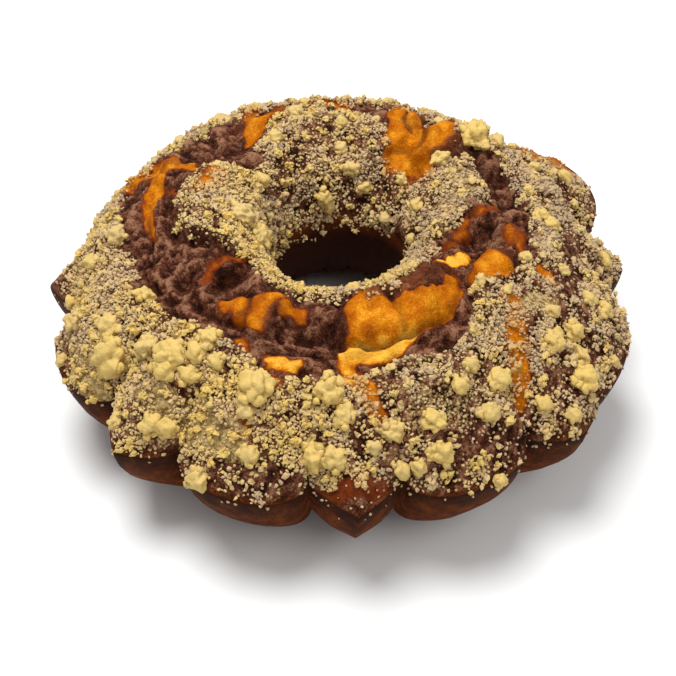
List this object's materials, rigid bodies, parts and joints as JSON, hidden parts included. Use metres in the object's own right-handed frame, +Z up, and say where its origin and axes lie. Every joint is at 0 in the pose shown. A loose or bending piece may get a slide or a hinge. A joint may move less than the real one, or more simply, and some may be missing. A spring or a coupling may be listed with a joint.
{
  "type": "marble cake",
  "caption": "Marble cake baked in a fluted ring pan, flutes down, its risen crown split to show orange and chocolate crumb under a baked streusel topping.",
  "frame": {"origin": "middle of the outline, on the surface that the cake stands on", "axes": "+Z up along the hole, -Y towards the side that faces the viewer"},
  "size_m": [0.255, 0.25, 0.0974],
  "materials": {
    "baked_crumb": "dry baked crumb, stands in for cake with a streusel topping"
  },
  "bodies": {
    "root": {"marble_cake": "baked_crumb"}
  },
  "joints": []
}
